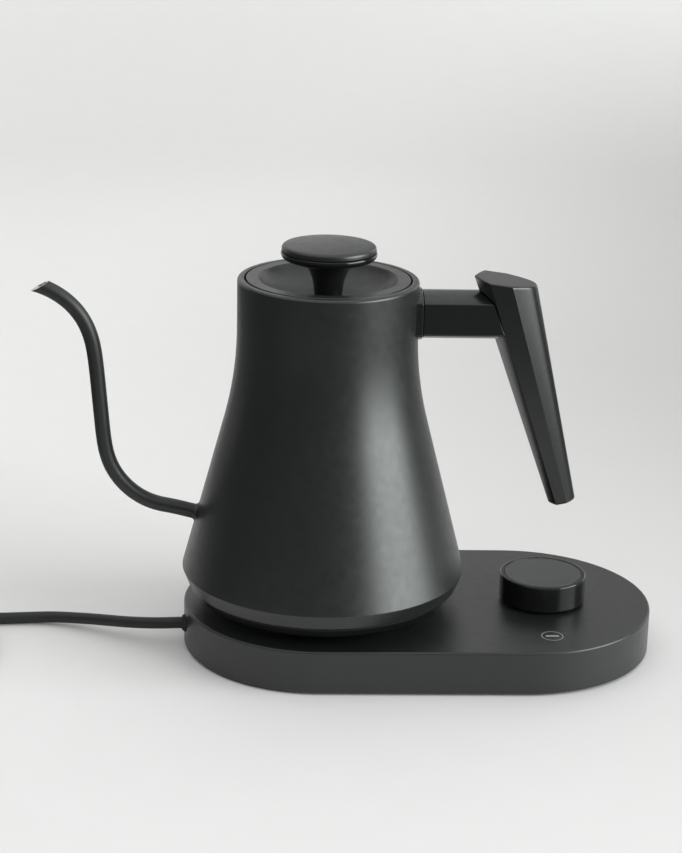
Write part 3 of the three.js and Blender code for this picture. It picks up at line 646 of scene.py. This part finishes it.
# bottom cover with its three stepped screw holes
STUD_R = 54.0
studs = np.radians([90.0, 210.0, 330.0])
cover = lathe("kettle_under", stretches(rounded([
    (22.6, 27.3, 0.3), (60.4, 27.3, 1.2), (64.2, 31.9, 0.8), (64.2, 36, 0.2),
    (62.6, 36, 0.2), (62.6, 32.4, 0.6), (60.2, 29.1, 0.8), (22.6, 29.1, 0.2)])), segments=128)
drilled(cover, *[lathe(f"cut_{n}", [(0, 20), (3.1, 20), (3.1, 28.5), (1.7, 28.5), (1.7, 32),
                                    (0, 32)], STUD_R * np.cos(a), STUD_R * np.sin(a), 48)
                 for n, a in enumerate(studs)])
dress(cover, dull, "plastic", "kettle", "bottom_cover")


# ---------- spout ----------
SPOUT_PATH = [
    (-58.6, 66.2), (-64.1, 67.5), (-73.1, 69.7), (-81.4, 71.5), (-90.0, 75.4), (-96.7, 81.0),
    (-101.8, 87.9), (-105.0, 95.7), (-106.6, 104.3), (-107.5, 113.6), (-108.3, 123.2),
    (-109.1, 132.7), (-110.0, 142.3), (-111.5, 152.2), (-115.0, 162.0), (-121.1, 170.4),
    (-128.7, 176.3), (-136.4, 179.8), (-146.0, 182.0),
]
TIP_LOW, TIP_HIGH = np.array([-140.1, 177.0]), np.array([-131.6, 181.8])
ROOT_FILLET, ROOT_DEPTH, FILLET_DEPTH = 1.9, 0.7, 0.03  # depths below the body's flank
MOUTH_EDGE = 0.12
spout_line = spline(SPOUT_PATH, 600)
spout_run = np.concatenate([[0], np.cumsum(np.linalg.norm(np.diff(spout_line, axis=0), axis=1))])
spout_dir = np.gradient(spout_line, axis=0)
spout_dir /= np.linalg.norm(spout_dir, axis=1)[:, None]
SIDES = 48
ring_angle = np.linspace(0, 2 * np.pi, SIDES, endpoint=False)


def spout_point(s, r, a):
    """Point at run s along the spout's line, r out from it at angle a: the line plus
    r cos a times its upward normal plus r sin a along y."""
    x, z = np.interp(s, spout_run, spout_line[:, 0]), np.interp(s, spout_run, spout_line[:, 1])
    dx, dz = np.interp(s, spout_run, spout_dir[:, 0]), np.interp(s, spout_run, spout_dir[:, 1])
    size = np.hypot(dx, dz)
    return np.stack([x + r * np.cos(a) * dz / size, r * np.sin(a) + 0 * x,
                     z - r * np.cos(a) * dx / size], axis=-1)


def halve(test, low, high, rounds=40):
    """Root of test between low and high by halving, for whole arrays at once."""
    low, high = low + 0.0, high + 0.0
    for _ in range(rounds):
        mid = (low + high) / 2
        positive = test(mid) > 0
        high, low = np.where(positive, mid, high), np.where(positive, low, mid)
    return (low + high) / 2


def body_radius(z):
    """Outer radius of the body's straight flank at height z."""
    return CREASE_R + (CONE_R - CREASE_R) * (z - CREASE_Z) / (CONE_Z - CREASE_Z)


def on_body(r, depth=0.0):
    """Run at which the spout's generators at radius r leave the body, less a depth."""
    def test(s):
        p = spout_point(s, r, ring_angle)
        return np.hypot(p[:, 0], p[:, 1]) - body_radius(p[:, 2]) + depth
    return halve(test, np.zeros(SIDES), np.full(SIDES, 16.0))


def at_slash(r):
    """Run at which the generators at radius r meet the plane of the slanted mouth."""
    along = (TIP_HIGH - TIP_LOW) / np.linalg.norm(TIP_HIGH - TIP_LOW)
    normal = np.array([-along[1], along[0]])

    def test(s):
        p = spout_point(s, r, ring_angle)
        return (p[:, 0] - TIP_LOW[0]) * normal[0] + (p[:, 2] - TIP_LOW[1]) * normal[1]
    return halve(test, np.full(SIDES, 150.0), np.full(SIDES, spout_run[-1]))


def spout_rows(start, stop, r0, r1, count, skip=0):
    """Rows from run start to run stop with the radius going from r0 to r1."""
    q = np.linspace(0, 1, count)[skip:, None]
    return spout_point(start + (stop - start) * q, r0 + (r1 - r0) * q, ring_angle[None, :])


theta = np.linspace(0, np.pi / 2, 10)
fillet_r = SPOUT_R + ROOT_FILLET * (1 - np.sin(theta))
fillet = np.stack([
    spout_point(on_body(r, FILLET_DEPTH) + ROOT_FILLET * (1 - np.cos(q)), r, ring_angle)
    for r, q in zip(fillet_r, theta)])
WIDE_R, RIM_R = SPOUT_R + ROOT_FILLET, SPOUT_R - MOUTH_EDGE
inner_end, root = np.zeros(SIDES), on_body(SPOUT_R, ROOT_DEPTH)
fillet_top = on_body(SPOUT_R, FILLET_DEPTH) + ROOT_FILLET
mouth_out, mouth_rim, mouth_in = at_slash(SPOUT_R), at_slash(RIM_R), at_slash(SPOUT_BORE)
spout = skin("spout_pipe", np.concatenate([
    spout_rows(inner_end, inner_end, SPOUT_BORE, SPOUT_R, 2),
    spout_rows(inner_end, root, SPOUT_R, SPOUT_R, 6, 1),
    spout_rows(root, on_body(WIDE_R, ROOT_DEPTH), SPOUT_R, WIDE_R, 2, 1),
    fillet,
    spout_rows(fillet_top, mouth_out - MOUTH_EDGE, SPOUT_R, SPOUT_R, 220, 1),
    spout_rows(mouth_out - MOUTH_EDGE, mouth_rim, SPOUT_R, RIM_R, 3, 1),
]))
bright = skin("spout_lining", np.concatenate([
    spout_rows(mouth_rim, mouth_in, RIM_R, SPOUT_BORE, 4),
    spout_rows(mouth_in, inner_end, SPOUT_BORE, SPOUT_BORE, 160, 1),
]))
dress(spout, coat_spout, "coat", "kettle", "spout_tube")
dress(bright, steel, "steel", "kettle")
dress(shell, coat, "coat", "kettle", "kettle_shell")

# ---------- handle ----------
GRIP_HIGH = dict(z=183.9, inner=70.1, flat_l=75.9, flat_r=86.1, nose=98.8, w=13.6)
GRIP_LOW = dict(z=75.8, inner=109.2, flat_l=112.4, flat_r=117.9, nose=122.9, w=6.1)
CROWN_X, CROWN_Y = 0.55, 0.62  # middle point of the inner side's curve, as shares of it


def grip_outline(g, front=28, back=16):
    """Half section from the nose to the inner crown: a cubic round the outer side, the
    flat side, and a quadratic round the inner side; then mirrored in y."""
    d, e = g["nose"] - g["flat_r"], g["flat_l"] - g["inner"]
    w = g["w"]
    outer = bezier((g["nose"], 0), (g["nose"], 0.5 * w), (g["flat_r"] + 0.5 * d, 0.76 * w),
                   (g["flat_r"], w), steps=front)
    flat = np.linspace((g["flat_r"], w), (g["flat_l"], w), 9)[1:-1]
    inner = bezier((g["flat_l"], w), (g["flat_l"] - CROWN_X * e, CROWN_Y * w), (g["inner"], 0),
                   steps=back)
    half = np.concatenate([outer, flat, inner])
    return np.concatenate([half, (half * [1, -1])[-2:0:-1]])


def shrink(ring, by):
    """Closed outline moved inwards along its own normals."""
    d = np.roll(ring, -1, axis=0) - np.roll(ring, 1, axis=0)
    d /= np.linalg.norm(d, axis=1)[:, None]
    return ring - by * np.stack([d[:, 1], -d[:, 0]], axis=1)


def grip_ring(height, slope, x0, inset):
    """Ring where the straight lines between both sections meet a sloping plane."""
    hi, lo = shrink(grip_outline(GRIP_HIGH), inset), shrink(grip_outline(GRIP_LOW), inset)
    span = GRIP_LOW["z"] - GRIP_HIGH["z"]
    rate = (lo[:, 0] - hi[:, 0]) / span
    x = (hi[:, 0] + rate * (height - slope * x0 - GRIP_HIGH["z"])) / (1 - rate * slope)
    z = height + slope * (x - x0)
    t = (z - GRIP_HIGH["z"]) / span
    return np.stack([x, hi[:, 1] + (lo[:, 1] - hi[:, 1]) * t, z], axis=1)


def to_middle(ring, shares):
    """Rings drawn from a ring towards its own middle, closing its end."""
    mid = ring.mean(axis=0)
    return np.stack([mid + (ring - mid) * s for s in shares])


EDGE_TOP, EDGE_LOW = 0.8, 1.3
TOP_Z, TOP_SLOPE, TOP_X = 185.35, -0.131, 83.85  # plane of the grip's top face
LOW_Z, LOW_SLOPE, LOW_X = 73.4, 0.22, 112.6  # plane of its lower face
q = np.linspace(0, np.pi / 2, 7)
top_rings = [grip_ring(TOP_Z - EDGE_TOP * (1 - np.sin(a)), TOP_SLOPE, TOP_X,
                       EDGE_TOP * (1 - np.cos(a))) for a in q]
low_rings = [grip_ring(LOW_Z + EDGE_LOW * (1 - np.sin(a)), LOW_SLOPE, LOW_X,
                       EDGE_LOW * (1 - np.cos(a))) for a in q[::-1]]
cap = np.array([0.97, 0.7, 0.35, 0.0])
grip = skin("handle_leaf", np.concatenate([
    to_middle(low_rings[0], cap[::-1]), np.stack(low_rings),
    np.stack([grip_ring(h, s, x0, 0.0) for h, s, x0 in zip(
        np.linspace(75.4, 183.9, 40), np.linspace(0.21, -0.125, 40),
        np.linspace(LOW_X, TOP_X, 40))]),
    np.stack(top_rings), to_middle(top_rings[-1], cap)]), crease=18.0)
dress(grip, handle_paint, "coat", "kettle", "handle_grip")


def bar_outline(grow, corner=1.0, steps=20):
    """Upright section: flat sides, arched top and bottom, each corner a small arc."""
    w, h = ARM_W + grow, ARM_H + 0.6 * grow
    lift = 2 * (ARM_BULGE + 0.4 * grow)
    top = bezier((w, h), (0, h + lift), (-w, h), steps=steps)
    top = np.column_stack([top, np.r_[corner, np.zeros(steps - 1), corner]])
    low = top * [-1, -1, 1]
    return rounded(np.concatenate([top, low]), steps=5, edge=0.3)


def inner_face(y, z):
    """x of the grip's inner side at y, z, on the straight lines between its sections. The
    side's curve has y = w (1 - b q - a q^2), which is solved for q."""
    t = (z - GRIP_HIGH["z"]) / (GRIP_LOW["z"] - GRIP_HIGH["z"])
    g = {k: GRIP_HIGH[k] + (GRIP_LOW[k] - GRIP_HIGH[k]) * t for k in GRIP_HIGH}
    share = np.clip(np.abs(y) / g["w"], 0, 1)
    a, b = 2 * CROWN_Y - 1, 2 * (1 - CROWN_Y)
    q = (-b + np.sqrt(b * b + 4 * a * (1 - share))) / (2 * a)
    bow = 2 * CROWN_X * q + (1 - 2 * CROWN_X) * q * q
    return g["flat_l"] - (g["flat_l"] - g["inner"]) * bow


def bar_rows(section, x_of, inset=0.0):
    """Section shrunk by an inset, each point at its own x."""
    s = shrink(section, inset)
    return np.stack([x_of(s[:, 0], s[:, 1] + ARM_Z), s[:, 0], s[:, 1] + ARM_Z], axis=1)


SEAM, ARM_GAP, ARM_EDGE, COLLAR_EDGE = 0.35, 0.3, 0.3, 0.5
arm_section = bar_outline(0.0)
q = np.linspace(0, np.pi / 2, 5)
steps_in = [bar_rows(arm_section, lambda y, z, a=a: inner_face(y, z) - SEAM
                     - ARM_EDGE * (1 - np.sin(a)), ARM_EDGE * (1 - np.cos(a))) for a in q]
start_rows = [bar_rows(arm_section, lambda y, z, a=a: 0 * y + ARM_X0 + ARM_GAP
                       + ARM_EDGE * (1 - np.sin(a)), ARM_EDGE * (1 - np.cos(a)))
              for a in q[::-1]]
run = [bar_rows(arm_section, lambda y, z, t=t: (ARM_X0 + 1.0) * (1 - t)
                + (inner_face(y, z) - SEAM - 0.6) * t) for t in np.linspace(0, 1, 14)]
arm = skin("handle_bar", np.concatenate([
    to_middle(start_rows[0], cap[::-1]), np.stack(start_rows), np.stack(run),
    np.stack(steps_in), to_middle(steps_in[-1], cap)]), crease=28.0)
dress(arm, handle_paint, "coat", "kettle", "handle_arm")

flange_section = bar_outline(0.8, corner=1.3)


def neck_face(y, z, sunk=0.3):
    """x of the body's flank at y, z, less a depth."""
    r = np.interp(z, flank[:, 1], flank[:, 0])
    return np.sqrt(np.maximum((r - sunk) ** 2 - y ** 2, 1.0))


steps_out = [bar_rows(flange_section, lambda y, z, a=a: 0 * y + ARM_X0
                      - COLLAR_EDGE * (1 - np.sin(a)), COLLAR_EDGE * (1 - np.cos(a)))
             for a in q]
flange = skin("handle_collar", np.concatenate([
    to_middle(bar_rows(flange_section, neck_face), cap[::-1]),
    np.stack([bar_rows(flange_section, lambda y, z, t=t: neck_face(y, z) * (1 - t)
                       + (ARM_X0 - 0.6) * t) for t in np.linspace(0, 1, 6)]),
    np.stack(steps_out), to_middle(steps_out[-1], cap)]), crease=28.0)
dress(flange, handle_paint, "coat", "kettle", "handle_flange")

# ---------- room and light ----------
ROOM_HALF, WALL_AT, WALL_R = 3.0, 1.25, 0.9
FRONT_EDGE, LEFT_EDGE, RIGHT_EDGE, SIDE_BACK = -0.3, -0.3, 0.4, 1.0


def bare_sheet(name, profile, x0=-ROOM_HALF, x1=ROOM_HALF):
    """Sheet with its (y, z) profile drawn out along x, left open."""
    p = np.asarray(profile, float)
    xs = np.linspace(x0, x1, 9)
    rows, cols = len(p), len(xs)
    points = np.stack([np.tile(xs, rows), np.repeat(p[:, 0], cols), np.repeat(p[:, 1], cols)],
                      axis=1)
    i, j = np.arange(rows - 1)[:, None], np.arange(cols - 1)[None, :]
    quads = np.stack([(a * cols + b).ravel() for a, b in (
        (i, j), (i, j + 1), (i + 1, j + 1), (i + 1, j))], axis=1)
    mesh = bpy.data.meshes.new(name)
    mesh.from_pydata(points.tolist(), [], quads.tolist())
    return piece(name, mesh, 60.0)


def room_shade(tree, where, under):
    """Painted shade on the room: slightly darker patches, each one a bell of the distance from
    its middle.
    """
    link = tree.links.new
    for place, radius, depth in SHADES:
        mapping = tree.nodes.new("ShaderNodeMapping")
        mapping.inputs["Location"].default_value = [-c for c in place]
        link(where, mapping.inputs["Vector"])
        length = tree.nodes.new("ShaderNodeVectorMath")
        length.operation = "LENGTH"
        link(mapping.outputs["Vector"], length.inputs[0])
        bell = tree.nodes.new("ShaderNodeMapRange")
        bell.interpolation_type = "SMOOTHSTEP"
        bell.inputs["From Min"].default_value = 0.0
        bell.inputs["From Max"].default_value = radius
        bell.inputs["To Min"].default_value = depth
        bell.inputs["To Max"].default_value = 0.0
        link(length.outputs["Value"], bell.inputs["Value"])
        mix = tree.nodes.new("ShaderNodeMix")
        mix.data_type = "RGBA"
        link(bell.outputs["Result"], mix.inputs["Factor"])
        link(under, mix.inputs["A"])
        mix.inputs["B"].default_value = (0.05, 0.05, 0.045, 1.0)
        under = mix.outputs["Result"]
    return under


# painted shade patches on the room: middle, radius, depth
SHADES = [((0.62, 0.45, 0.0), 0.92, 0.52), ((0.7, 1.15, 0.0), 0.75, 0.42),
          ((0.0, 1.75, -0.5), 1.25, 0.24), ((0.62, 2.15, 0.95), 0.9, 0.85)]
q = np.linspace(0, np.pi / 2, 24)
rise = np.concatenate([
    [(WALL_AT - 0.2, 0.0)],
    np.stack([WALL_AT + WALL_R * np.sin(q), WALL_R * (1 - np.cos(q))], axis=1),
    [(WALL_AT + WALL_R, ROOM_HALF)]])
room = [
    bare_sheet("room", np.concatenate([[(FRONT_EDGE, 0.0), (0.0, 0.0)], rise]),
               LEFT_EDGE, RIGHT_EDGE),
    bare_sheet("room_left", np.concatenate([[(SIDE_BACK, 0.0)], rise]), x1=LEFT_EDGE),
    bare_sheet("room_right", np.concatenate([[(SIDE_BACK, 0.0)], rise]), x0=RIGHT_EDGE),
    bare_sheet("floor_front", [(-ROOM_HALF, 0.0), (FRONT_EDGE, 0.0)]),
    bare_sheet("floor_left", [(FRONT_EDGE, 0.0), (SIDE_BACK, 0.0)], x1=LEFT_EDGE),
    bare_sheet("floor_right", [(FRONT_EDGE, 0.0), (SIDE_BACK, 0.0)], x0=RIGHT_EDGE),
]
paint = material("pale_paint", (0.822, 0.806, 0.797), 0.7, (0.00004, [(60.0, 1.0)]),
                 mottle=0.006, mark=room_shade)
for sheet in room:
    sheet.data.materials.append(paint)
for far in room[3:]:
    far.visible_glossy = False  # past the table's edge a gloss shows the dim room

SKY_TOP, SKY_LOW, SKY_SEEN = 1.06, 0.12, 0.78
world = bpy.data.worlds.new("world")
bpy.context.scene.world = world
world.use_nodes = True
tree = world.node_tree
sky = tree.nodes["Background"]
direction = tree.nodes.new("ShaderNodeTexCoord").outputs["Generated"]
split = tree.nodes.new("ShaderNodeSeparateXYZ")
tree.links.new(direction, split.inputs["Vector"])
lift = tree.nodes.new("ShaderNodeMapRange")
lift.interpolation_type = "SMOOTHSTEP"
lift.inputs["From Min"].default_value, lift.inputs["From Max"].default_value = 0.35, 0.75
lift.inputs["To Min"].default_value, lift.inputs["To Max"].default_value = SKY_LOW, SKY_TOP
tree.links.new(split.outputs["Z"], lift.inputs["Value"])
path = tree.nodes.new("ShaderNodeLightPath")
choose = tree.nodes.new("ShaderNodeMix")
choose.inputs["B"].default_value = SKY_SEEN
tree.links.new(path.outputs["Is Camera Ray"], choose.inputs["Factor"])
tree.links.new(lift.outputs["Result"], choose.inputs["A"])
tree.links.new(choose.outputs["Result"], sky.inputs["Strength"])
sky.inputs["Color"].default_value = (0.98, 0.99, 1.0, 1.0)


def soft_light(name, azimuth, elevation, distance, wide, high, radiance, colour):
    """Rectangular soft light that faces the kettle from a bearing (0 along +X, 90 along
    +Y). Its power is radiance times pi times its area."""
    lamp = bpy.data.lights.new(name, "AREA")
    lamp.shape, lamp.size, lamp.size_y = "RECTANGLE", wide, high
    lamp.energy, lamp.color = radiance * np.pi * wide * high, colour
    obj = bpy.data.objects.new(name, lamp)
    bpy.context.scene.collection.objects.link(obj)
    a, e = np.radians(azimuth), np.radians(elevation)
    out = Vector((np.cos(a) * np.cos(e), np.sin(a) * np.cos(e), np.sin(e)))
    obj.location = out * distance + Vector((0.0, 0.0, 0.1))
    obj.rotation_mode = "QUATERNION"
    obj.rotation_quaternion = out.to_track_quat("Z", "Y")
    return obj


soft_light("window", -23.0, 13.5, 8.0, 6.8, 4.6, 9.0, (0.945, 1.0, 0.985))
bpy.context.scene.view_settings.view_transform = "Standard"
